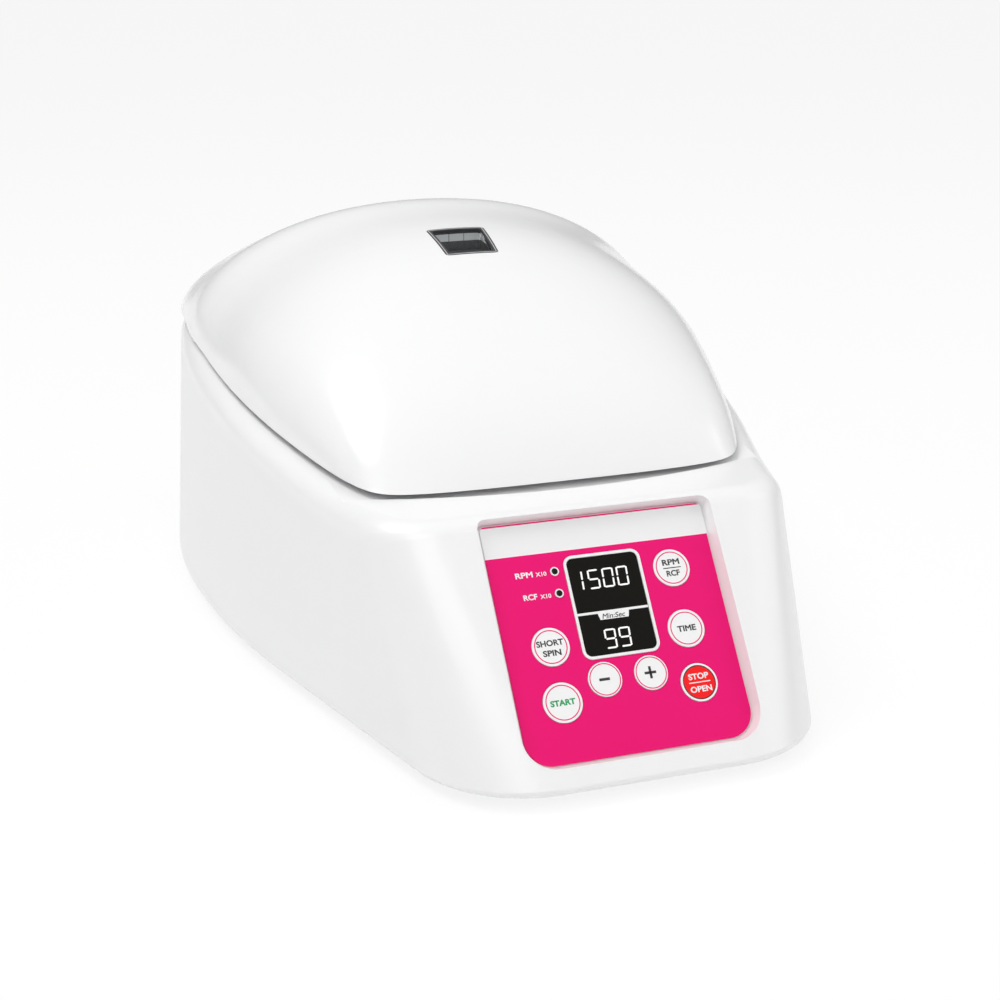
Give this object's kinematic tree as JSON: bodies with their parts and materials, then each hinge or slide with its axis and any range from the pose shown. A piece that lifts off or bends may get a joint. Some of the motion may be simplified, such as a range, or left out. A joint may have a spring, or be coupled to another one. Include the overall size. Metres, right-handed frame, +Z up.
{
  "type": "microcentrifuge",
  "caption": "Bench microcentrifuge with a domed hinged lid, a small lid window, a fixed-angle rotor in a round chamber and a sloping keypad with a digital display.",
  "frame": {"origin": "on the table under the centre of the machine's box, level with the bottoms of the feet", "axes": "+Z up, +X to the right seen from the front, +Y to the back; the keypad faces -Y"},
  "size_m": [0.2018, 0.2928, 0.14],
  "materials": {
    "housing_white": "glossy moulded white",
    "lid_white": "glossy moulded white",
    "base_grey": "satin grey powder coat",
    "foot_rubber": "matte",
    "screw_steel": "zinc plated",
    "bowl_steel": "brushed stainless",
    "seal_rubber": "matte",
    "rotor_aluminium": "hard anodised",
    "nut_black": "satin",
    "shaft_steel": "ground",
    "motor_steel": "satin black",
    "bearing_steel": "polished",
    "mount_plate": "plain",
    "damper_rubber": "matte",
    "post_aluminium": "turned",
    "label_magenta": "printed film with a white stripe",
    "bezel_white": "smooth",
    "display_black": "smooth dark filter",
    "module_black": "satin",
    "board_green": "lacquered board",
    "switch_black": "satin",
    "lamp_dark": "clear dark lens",
    "start_white": "printed film",
    "stop_red": "printed film",
    "key_white": "printed film",
    "frame_grey": "satin dark grey",
    "well_grey": "satin light grey",
    "smoked_pane": "smoked",
    "clear_pane": "clear",
    "liner_grey": "satin light grey",
    "hinge_steel": "bent sheet",
    "spring_steel": "drawn wire",
    "striker_steel": "polished edge",
    "hook_plastic": "natural acetal",
    "spacer_brass": "turned",
    "capacitor_black": "sleeved",
    "transformer_yellow": "taped winding",
    "sink_aluminium": "extruded",
    "inlet_black": "satin",
    "pin_brass": "plated",
    "rocker_black": "smooth"
  },
  "bodies": {
    "base": {"lower_housing": "housing_white", "base_plate": "base_grey", "rubber_feet": "foot_rubber", "housing_screws": "screw_steel", "rotor_bowl": "bowl_steel", "bowl_seal": "seal_rubber", "motor_can": "motor_steel", "motor_bearings": "bearing_steel", "motor_mount": "mount_plate", "motor_dampers": "damper_rubber", "motor_posts": "post_aluminium", "mount_screws": "screw_steel", "control_label": "label_magenta", "display_bezel": "bezel_white", "display_window": "display_black", "display_module": "module_black", "display_board": "board_green", "board_screws": "screw_steel", "key_switches": "switch_black", "status_lamps": "lamp_dark", "hinge_pin": "shaft_steel", "hinge_brackets": "hinge_steel", "lid_springs": "spring_steel", "latch_bracket": "hinge_steel", "latch_solenoid": "motor_steel", "main_board": "board_green", "board_spacers": "spacer_brass", "power_capacitors": "capacitor_black", "transformer": "transformer_yellow", "heat_sink": "sink_aluminium", "power_inlet": "inlet_black", "inlet_pins": "pin_brass", "switch_frame": "inlet_black"},
    "lid": {"lid_shell": "lid_white", "window_frame": "frame_grey", "window_well": "well_grey", "well_pane": "smoked_pane", "lid_window": "clear_pane", "lid_liner": "liner_grey", "inner_window": "clear_pane", "lid_screws": "screw_steel", "hinge_arms": "hinge_steel", "lid_striker": "striker_steel"},
    "rotor": {"rotor": "rotor_aluminium", "rotor_nut": "nut_black", "motor_shaft": "shaft_steel"},
    "latch": {"latch_hook": "hook_plastic"},
    "rocker": {"power_rocker": "rocker_black"},
    "start_key": {"start_key": "start_white"},
    "stop_key": {"stop_key": "stop_red"},
    "short_spin_key": {"short_spin_key": "key_white"},
    "time_key": {"time_key": "key_white"},
    "speed_key": {"speed_key": "key_white"},
    "minus_key": {"minus_key": "key_white"},
    "plus_key": {"plus_key": "key_white"}
  },
  "joints": [
    {"name": "lid_hinge", "type": "hinge", "parent": "base", "child": "lid", "pos_m": [0, 0.138, 0.0955], "axis": [-1, 0, 0], "range_deg": [0, 75]},
    {"name": "rotor_spin", "type": "hinge", "parent": "base", "child": "rotor", "pos_m": [0, 0.035, 0.07], "axis": [0, 0, 1], "continuous": true},
    {"name": "latch_slide", "type": "slide", "parent": "base", "child": "latch", "axis": [0, 1, 0], "range_m": [0, 0.008], "stiffness_N_per_m": 60},
    {"name": "rocker_pivot", "type": "hinge", "parent": "base", "child": "rocker", "pos_m": [-0.014, 0.1417, 0.034], "axis": [-1, 0, 0], "range_deg": [0, 16]},
    {"name": "start_key_press", "type": "slide", "parent": "base", "child": "start_key", "axis": [0, 0.7898, -0.6133], "range_m": [0, 0.0005], "stiffness_N_per_m": 3000},
    {"name": "stop_key_press", "type": "slide", "parent": "base", "child": "stop_key", "axis": [0, 0.7898, -0.6133], "range_m": [0, 0.0005], "stiffness_N_per_m": 3000},
    {"name": "short_spin_key_press", "type": "slide", "parent": "base", "child": "short_spin_key", "axis": [0, 0.7898, -0.6133], "range_m": [0, 0.0005], "stiffness_N_per_m": 3000},
    {"name": "time_key_press", "type": "slide", "parent": "base", "child": "time_key", "axis": [0, 0.7898, -0.6133], "range_m": [0, 0.0005], "stiffness_N_per_m": 3000},
    {"name": "speed_key_press", "type": "slide", "parent": "base", "child": "speed_key", "axis": [0, 0.7898, -0.6133], "range_m": [0, 0.0005], "stiffness_N_per_m": 3000},
    {"name": "minus_key_press", "type": "slide", "parent": "base", "child": "minus_key", "axis": [0, 0.7898, -0.6133], "range_m": [0, 0.0005], "stiffness_N_per_m": 3000},
    {"name": "plus_key_press", "type": "slide", "parent": "base", "child": "plus_key", "axis": [0, 0.7898, -0.6133], "range_m": [0, 0.0005], "stiffness_N_per_m": 3000}
  ]
}
